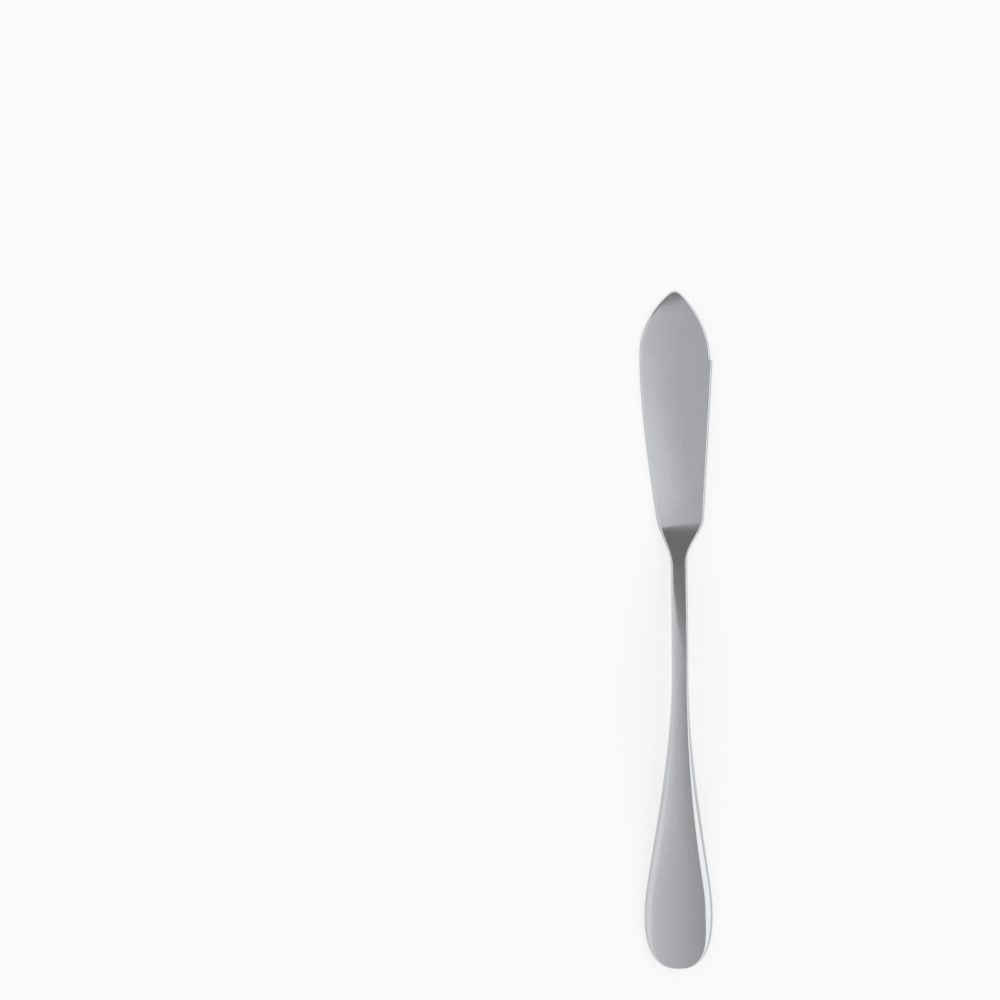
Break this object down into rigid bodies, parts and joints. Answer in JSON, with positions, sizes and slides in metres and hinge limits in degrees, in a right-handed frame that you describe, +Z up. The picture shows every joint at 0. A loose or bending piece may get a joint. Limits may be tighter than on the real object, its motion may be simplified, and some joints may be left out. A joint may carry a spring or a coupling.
{
  "type": "butter knife",
  "caption": "Flat-handled butter knife with a broad leaf-shaped blade, slim neck and flared round-ended handle, in polished stainless steel.",
  "frame": {"origin": "on the table's plane, under the middle of the knife's length and width as it lies", "axes": "+Y along the knife towards the blade's tip, +Z up out of its face, +X towards the spine; the cutting edge faces -X"},
  "size_m": [0.0184, 0.17, 0.0082],
  "materials": {
    "stainless_steel": "polished, with a very fine grain along the length"
  },
  "bodies": {
    "root": {"butter_knife": "stainless_steel"}
  },
  "joints": []
}
